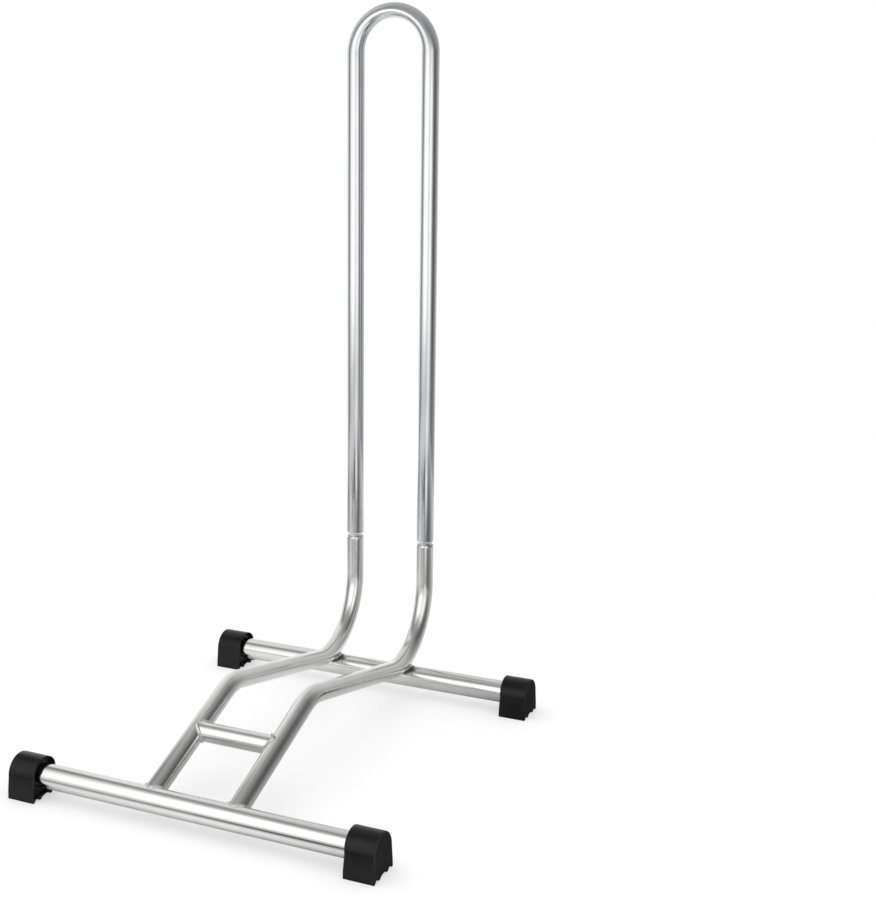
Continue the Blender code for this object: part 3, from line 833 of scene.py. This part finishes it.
def weld_bead_tree():
    """A closed line in, a rippled bead out."""
    sizes = [("Joint", "Geometry"), ("Bead Radius", "Float"), ("Ripples", "Int"), ("Ripple Depth", "Float"),
             ("Ripple Bow", "Float"), ("Unevenness", "Float"), ("Sides", "Int"), ("Seed", "Float"),
             ("Finish", "Material")]
    tree, given, result = new_group("weld_bead", "GeometryNodeTree", sizes, [("Bead", "Geometry")])
    line = add_node(tree, "GeometryNodeMeshToCurve", {"Mesh": given["Joint"]}).outputs[0]
    placed = add_node(tree, "GeometryNodeCaptureAttribute", {"Geometry": line}, domain="POINT")
    placed.capture_items.new("FLOAT", "Length")
    placed.capture_items.new("FLOAT", "Share")
    parameter = tree.nodes.new("GeometryNodeSplineParameter").outputs
    tree.links.new(parameter["Length"], placed.inputs[1])
    tree.links.new(parameter["Factor"], placed.inputs[2])
    ring = marked_ring(tree, given["Sides"])
    place = tree.nodes.new("GeometryNodeInputPosition").outputs[0]
    lumps = add_node(tree, "ShaderNodeTexNoise", {"Vector": place, "W": given["Seed"], **LUMPS},
                     noise_dimensions="4D").outputs[0]
    swell = maths(tree, "MULTIPLY", maths(tree, "SUBTRACT", lumps, 0.5), given["Unevenness"])
    thickness = maths(tree, "MULTIPLY", given["Bead Radius"], maths(tree, "ADD", swell, 1.0))
    bead = swept(tree, placed, ring, thickness)
    parts = add_node(tree, "ShaderNodeSeparateXYZ", {"Vector": ring.outputs[1]}).outputs
    bowed = maths(tree, "MULTIPLY", maths(tree, "MULTIPLY", parts[0], parts[1]), given["Ripple Bow"])
    ripples = maths(tree, "MULTIPLY", placed.outputs[2], given["Ripples"])
    phase = maths(tree, "FRACT", maths(tree, "ADD", ripples, bowed))
    crest = maths(tree, "SUBTRACT", 1.0, maths(tree, "POWER", phase, RIPPLE_SHARPNESS))
    dip = maths(tree, "MULTIPLY", maths(tree, "SUBTRACT", crest, 1.0), given["Ripple Depth"])
    push = maths(tree, "MULTIPLY", dip, given["Bead Radius"])
    offset = scaled(tree, tree.nodes.new("GeometryNodeInputNormal").outputs[0], push)
    rippled = add_node(tree, "GeometryNodeSetPosition", {"Geometry": bead, "Offset": offset}).outputs[0]
    marked = stored(tree, rippled, "ripple_height", crest, "FLOAT")
    around = scaled(tree, ring.outputs[1], given["Bead Radius"])
    plated = finished(tree, marked, around, placed.outputs[1], given["Finish"])
    tree.links.new(plated, result["Bead"])
    return tree


WELD_METAL = weld_metal()
WELD_BEAD = weld_bead_tree()
CREVICE_SHADE_NODES = crevice_shade_group()
REST_SPOT = side(REAR_AXIS.y, REAR_AXIS.z) + (LOW_BEND_CENTRE - REAR_AXIS).normalized() * FOOT_RADIUS
# Painted shade round the spots where the side tubes' bends rest on the rear foot
shade_crevice_near(FRAME_ZINC, REST_SPOT + Vector((SIDE_X, 0, 0)))


def front_joint(x):
    """Where a side tube's surface meets the front foot's surface."""
    lift = (SIDE_START - FRONT_AXIS).dot(CLIMB_UP)
    line = []
    for i in range(LINE_STEPS):
        angle = math.tau * i / LINE_STEPS
        height = lift + SIDE_RADIUS * math.sin(angle)
        depth = math.sqrt(FOOT_RADIUS ** 2 - height ** 2)
        centre = Vector((x + SIDE_RADIUS * math.cos(angle), FRONT_AXIS.y, FRONT_AXIS.z))
        line.append(centre + CLIMB_UP * height + CLIMB * depth)
    return line


def cross_joint(turn):
    """Where the cross tube's surface meets a side tube's surface, its two corners rounded."""
    line = []
    for i in range(LINE_STEPS):
        angle = math.tau * i / LINE_STEPS
        along = SIDE_RADIUS * math.cos(angle)
        place = CROSS_PLACE + CLIMB * along + CLIMB_UP * (SIDE_RADIUS * math.sin(angle))
        line.append(place + Vector((turn * (SIDE_X - math.hypot(along, CROSS_CORNER_ROUNDING)), 0, 0)))
    return line


def saddle_joint(x):
    """A ring halfway between a side tube's bend and the rear foot, round the spot where they touch."""
    up = (LOW_BEND_CENTRE - REAR_AXIS).normalized()
    forward = side(up.z, -up.y)
    line = []
    for i in range(LINE_STEPS):
        angle = math.tau * i / LINE_STEPS
        sideways, ahead = SADDLE_REACH * math.cos(angle), SADDLE_REACH * math.sin(angle)
        foot_drop = ahead ** 2 / (2 * FOOT_RADIUS)
        bend_rise = sideways ** 2 / (2 * SIDE_RADIUS) + ahead ** 2 / (2 * (LOW_BEND_RADIUS + SIDE_RADIUS))
        lift = FOOT_RADIUS + WELD_GAP / 2 + (bend_rise - foot_drop) / 2
        line.append(Vector((x + sideways, REAR_AXIS.y, REAR_AXIS.z)) + up * lift + forward * ahead)
    return line


def weld(node, line, radius, ripples, seed):
    """One closed run of weld along a line."""
    values = {"Bead Radius": radius, "Ripples": ripples, "Ripple Depth": RIPPLE_DEPTH,
              "Ripple Bow": RIPPLE_BOW, "Unevenness": UNEVENNESS, "Sides": BEAD_SIDES, "Seed": seed,
              "Finish": WELD_METAL}
    piece = shape_with_tree(node + "_bead", line, {}, WELD_BEAD, values, closed=True)
    put_in_place(finish_mesh(piece), "frame", "weld_bead", node)


for seed, (label, turn) in enumerate((("left", -1), ("right", 1))):
    x = turn * SIDE_X
    weld("front_" + label + "_weld", front_joint(x), BEAD_RADIUS, FRONT_RIPPLES, seed + 1.0)
    weld("cross_" + label + "_weld", cross_joint(turn), BEAD_RADIUS, CROSS_RIPPLES, seed + 3.0)
    weld("rear_" + label + "_weld", saddle_joint(x), SADDLE_BEAD_RADIUS, SADDLE_RIPPLES, seed + 5.0)


# Floor, light and camera
# A pale floor that runs out to white and a soft overhead lamp. Seen only as reflections: a light tent of
# white cloth, bright towards the camera and on the left and dark on the right, and a patchy table.

FLOOR_RADIUS = 6.0
FLOOR_SIDES = 96
FLOOR_WHITE = (0.93, 0.93, 0.93, 1)
MATT_ROUGHNESS = 0.9
MATT_SPECULAR = 0.1
FADE_START = 0.26
FADE_END = 0.80
NEAR_FADE = 0.5
TENT_RADIUS = 0.80
TENT_HEIGHT = 0.85
TENT_SIDES = 96
TENT_RINGS = 30
SHEET_LIFT = 0.0003
SHEET_CELLS = 100
CAMERA_PLACE = Vector((0.54818, -1.04861, 0.51884))
CAMERA_TURN = (77.76, 0.0, 25.59)
LENS = 57.77
SENSOR_WIDTH = 36.0
FRAME_SHIFT = 0.1
LAMP_PLACE = Vector((-0.3, -0.4, 2.4))
LAMP_TARGET = Vector((0, 0, 0.1))
LAMP_WIDTH = 2.6
LAMP_POWER = 12.0
# Glow of the tent's cloth: degrees to the right of the camera as seen from the stand, then the glow at the
# floor, halfway up and near the top. The very top glows alike all round.
CLOTH_GLOW = ((-180, 1.15, 0.80, 0.55), (-158, 1.05, 0.93, 0.66), (-142, 0.80, 0.98, 0.70),
              (-130, 0.28, 0.26, 0.42), (-112, 0.26, 0.28, 0.36), (-96, 0.45, 0.66, 0.34),
              (-74, 0.65, 1.18, 0.36), (-50, 0.75, 1.68, 0.38), (-22, 0.55, 1.38, 0.42),
              (0, 0.75, 0.78, 0.42), (14, 0.95, 1.24, 0.38), (30, 0.80, 1.24, 0.34),
              (43, 0.60, 0.82, 0.30), (58, 0.26, 0.24, 0.26),
              (82, 0.20, 0.10, 0.28), (108, 0.32, 0.32, 0.36), (125, 0.45, 0.55, 0.42),
              (150, 0.65, 0.68, 0.50), (165, 1.15, 0.76, 0.54), (180, 1.15, 0.80, 0.55))
LOW_GLOW_END = 0.26
TOP_START = 0.56
TOP_FULL = 0.81
TOP_GLOW = 0.38
# How pale the table looks from the stand, and the darker and paler patches on it: place, reach sideways and
# in depth, paleness
TABLE_PALENESS = 0.62
TABLE_PATCHES = (((0.37, 0.03), (0.62, 0.62), 0.12), ((-0.62, 0.20), (0.45, 0.45), 0.26),
                 ((0.48, -0.52), (0.34, 0.30), 1.0), ((-0.10, 0.18), (0.34, 0.34), 0.95),
                 ((0.12, -0.36), (0.36, 0.15), 0.0), ((-0.24, -0.28), (0.26, 0.075), 0.15),
                 ((0.10, -0.275), (0.40, 0.07), 0.0),
                 ((0.0, -0.205), (0.40, 0.035), 1.0), ((0.29, -0.28), (0.23, 0.25), 1.0))


def background_rays(tree):
    """1 for the rays that show the background: those of the camera and those that a surface reflects."""
    path = tree.nodes.new("ShaderNodeLightPath").outputs
    return maths(tree, "MAXIMUM", path["Is Camera Ray"],
                 maths(tree, "MAXIMUM", path["Is Glossy Ray"], path["Is Transmission Ray"]))


def matt_look(name):
    """A material as dull as paper, with its node tree and its shader."""
    look, tree, shader = new_look(name)
    shader.inputs["Roughness"].default_value = MATT_ROUGHNESS
    shader.inputs["Specular IOR Level"].default_value = MATT_SPECULAR
    return look, tree, shader


def pale_floor():
    """Matt white that keeps the stand's shadow and turns into plain white further out."""
    look, tree, shader = matt_look("pale_floor")
    shader.inputs["Base Color"].default_value = FLOOR_WHITE
    place = tree.nodes.new("ShaderNodeTexCoord").outputs["Object"]
    distance = add_node(tree, "ShaderNodeVectorMath", {0: place}, operation="LENGTH").outputs["Value"]
    fade = {"Value": distance, "From Min": FADE_START, "From Max": FADE_END, "To Min": NEAR_FADE}
    far = add_node(tree, "ShaderNodeMapRange", fade, interpolation_type="SMOOTHSTEP").outputs[0]
    white = add_node(tree, "ShaderNodeEmission", {"Color": (1, 1, 1, 1), "Strength": 1.0}).outputs[0]
    share = maths(tree, "MULTIPLY", far, background_rays(tree))
    blend = add_node(tree, "ShaderNodeMixShader", {0: share, 1: shader.outputs[0], 2: white}).outputs[0]
    tree.links.new(blend, tree.nodes["Material Output"].inputs["Surface"])
    return look


def studio_piece(name, points, faces, look, reflected_only=True):
    """A piece of the stage, unless told otherwise one that is seen only as a reflection."""
    mesh = bpy.data.meshes.new(name)
    mesh.from_pydata(points, [], faces)
    mesh.materials.append(look)
    made = bpy.data.objects.new(name, mesh)
    bpy.context.scene.collection.objects.link(made)
    if reflected_only:
        made.visible_camera = False
        made.visible_diffuse = False
        made.visible_shadow = False
        made.visible_volume_scatter = False
    return made


floor_rim = [(FLOOR_RADIUS * math.cos(math.tau * i / FLOOR_SIDES),
              FLOOR_RADIUS * math.sin(math.tau * i / FLOOR_SIDES), 0) for i in range(FLOOR_SIDES)]
studio_piece("studio_floor", floor_rim, [range(len(floor_rim))], pale_floor(), reflected_only=False)


def between(levels, place):
    """The values listed for a place, on straight lines between its neighbours."""
    for (low, *first), (high, *second) in zip(levels, levels[1:]):
        if place <= high:
            share = (place - low) / (high - low)
            return [one + (other - one) * share for one, other in zip(first, second)]


def glowing_cloth():
    """Cloth that glows as much as its own level says."""
    look, tree, shader = new_look("tent_cloth")
    tree.nodes.remove(shader)
    level = attribute(tree, "level")["Color"]
    glow = add_node(tree, "ShaderNodeEmission", {"Color": level, "Strength": 1.0}).outputs[0]
    tree.links.new(glow, tree.nodes["Material Output"].inputs["Surface"])
    return look


def table_sheet():
    """Matt paper as pale as its own level says."""
    look, tree, shader = matt_look("table_sheet")
    tree.links.new(attribute(tree, "level")["Color"], shader.inputs["Base Color"])
    return look


def with_levels(made, levels):
    """Keeps how pale or bright each of its points is on a piece of the stage."""
    made.data.attributes.new("level", "FLOAT", "POINT").data.foreach_set("value", levels)


def light_tent():
    """A dome of cloth round the stand, its glow set point by point."""
    toward_camera = math.atan2(CAMERA_PLACE.y, CAMERA_PLACE.x)
    points, levels = [], []
    for ring in range(TENT_RINGS):
        rise = math.pi / 2 * ring / TENT_RINGS
        reach, height = TENT_RADIUS * math.cos(rise), TENT_HEIGHT * math.sin(rise)
        to_top = eased((height - TOP_START) / (TOP_FULL - TOP_START))
        at_top = eased((height - TOP_FULL) / (TENT_HEIGHT - TOP_FULL))
        for i in range(TENT_SIDES):
            turn = 360 * i / TENT_SIDES - 180
            angle = toward_camera + math.radians(turn)
            points.append((reach * math.cos(angle), reach * math.sin(angle), height))
            glow, middle_glow, upper_glow = between(CLOTH_GLOW, turn)
            glow += (middle_glow - glow) * eased(height / LOW_GLOW_END)
            glow += (upper_glow - glow) * to_top
            levels.append(glow + (TOP_GLOW - glow) * at_top)
    faces = [(r * TENT_SIDES + i, r * TENT_SIDES + (i + 1) % TENT_SIDES,
              (r + 1) * TENT_SIDES + (i + 1) % TENT_SIDES, (r + 1) * TENT_SIDES + i)
             for r in range(TENT_RINGS - 1) for i in range(TENT_SIDES)]
    faces.append(range(len(points) - TENT_SIDES, len(points)))
    with_levels(studio_piece("light_tent", points, faces, glowing_cloth()), levels)


light_tent()


def reflected_table():
    """The table that the tubes reflect, a hair above the floor, its paleness set point by point."""
    count = SHEET_CELLS + 1
    points, levels = [], []
    for row in range(count):
        for column in range(count):
            x, y = (TENT_RADIUS * (2 * step / SHEET_CELLS - 1) for step in (column, row))
            level = TABLE_PALENESS
            for (patch_x, patch_y), (reach_x, reach_y), paleness in TABLE_PATCHES:
                off = math.hypot((x - patch_x) / reach_x, (y - patch_y) / reach_y)
                level += (paleness - level) * eased(1 - off)
            points.append((x, y, SHEET_LIFT))
            levels.append(level)
    faces = [(r * count + c, r * count + c + 1, (r + 1) * count + c + 1, (r + 1) * count + c)
             for r in range(SHEET_CELLS) for c in range(SHEET_CELLS)]
    with_levels(studio_piece("table_sheet", points, faces, table_sheet()), levels)


reflected_table()

lamp_data = bpy.data.lights.new("overhead_lamp", "AREA")
lamp_data.shape = "DISK"
lamp_data.size = LAMP_WIDTH
lamp_data.energy = LAMP_POWER
lamp = bpy.data.objects.new("overhead_lamp", lamp_data)
lamp.location = LAMP_PLACE
lamp.rotation_euler = (LAMP_TARGET - LAMP_PLACE).to_track_quat("-Z", "Y").to_euler()
lamp.visible_glossy = False
bpy.context.scene.collection.objects.link(lamp)

world = bpy.data.worlds.new("studio")
world.use_nodes = True
bpy.context.scene.world = world
background = world.node_tree.nodes["Background"]
background.inputs["Color"].default_value = (1, 1, 1, 1)
background.inputs["Strength"].default_value = 1.0

camera_data = bpy.data.cameras.new("camera")
camera_data.lens = LENS
camera_data.sensor_width = SENSOR_WIDTH
camera_data.shift_x = FRAME_SHIFT
camera = bpy.data.objects.new("camera", camera_data)
camera.location = CAMERA_PLACE
camera.rotation_euler = [math.radians(angle) for angle in CAMERA_TURN]
bpy.context.scene.collection.objects.link(camera)
bpy.context.scene.camera = camera
bpy.context.scene.view_settings.view_transform = "Standard"
